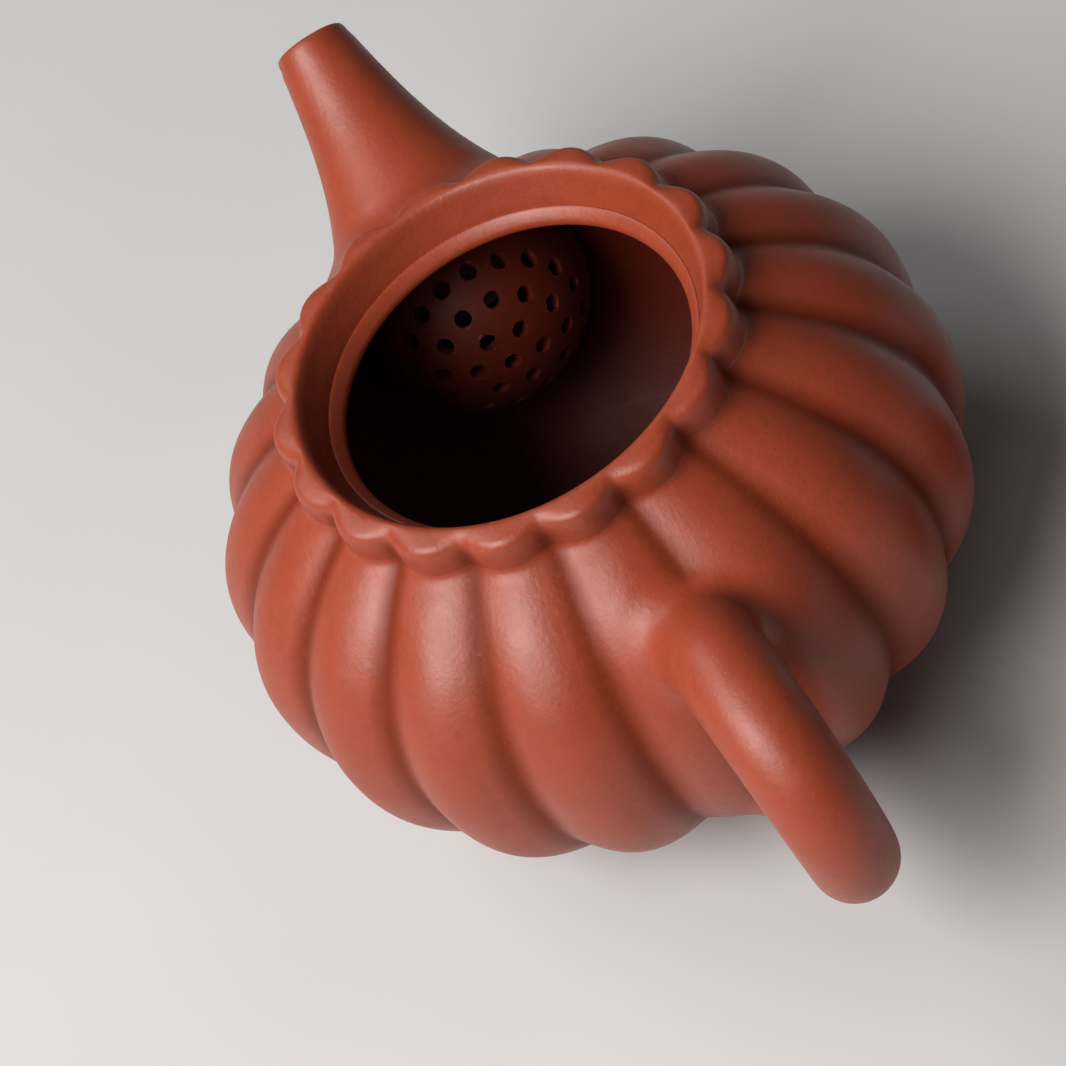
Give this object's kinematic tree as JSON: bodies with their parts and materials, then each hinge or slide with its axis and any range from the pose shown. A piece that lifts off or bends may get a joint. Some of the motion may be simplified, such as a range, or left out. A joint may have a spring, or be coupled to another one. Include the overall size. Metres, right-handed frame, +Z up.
{
  "type": "teapot",
  "caption": "Small squat clay teapot with a ribbed globe body, scalloped mouth, upright spout over an inner strainer dome, loop handle and a lift-off ribbed lid lying beside it.",
  "frame": {"origin": "on the pot's axis, in the plane that the foot ring stands on", "axes": "+Z up, +X along the spout, -X along the handle; the lid lies on the same plane at -Y"},
  "size_m": [0.1436, 0.1552, 0.0642],
  "materials": {
    "red_clay": "unglazed, fine grained, satin",
    "dark_clay": "unglazed, matt"
  },
  "bodies": {
    "pot": {"body_lower": "red_clay", "body_upper": "red_clay", "foot_ring": "red_clay", "base_plate": "red_clay", "mouth_ring": "red_clay", "lip_ring": "red_clay", "spout": "red_clay", "infuser_dome": "dark_clay", "handle": "red_clay"},
    "lid": {"lid_flange": "red_clay", "lid_plate": "red_clay", "lid_knob": "red_clay"}
  },
  "joints": [
    {"name": "lid_lift", "type": "slide", "parent": "pot", "child": "lid", "axis": [0, 0, 1], "range_m": [0, 0.1]}
  ]
}
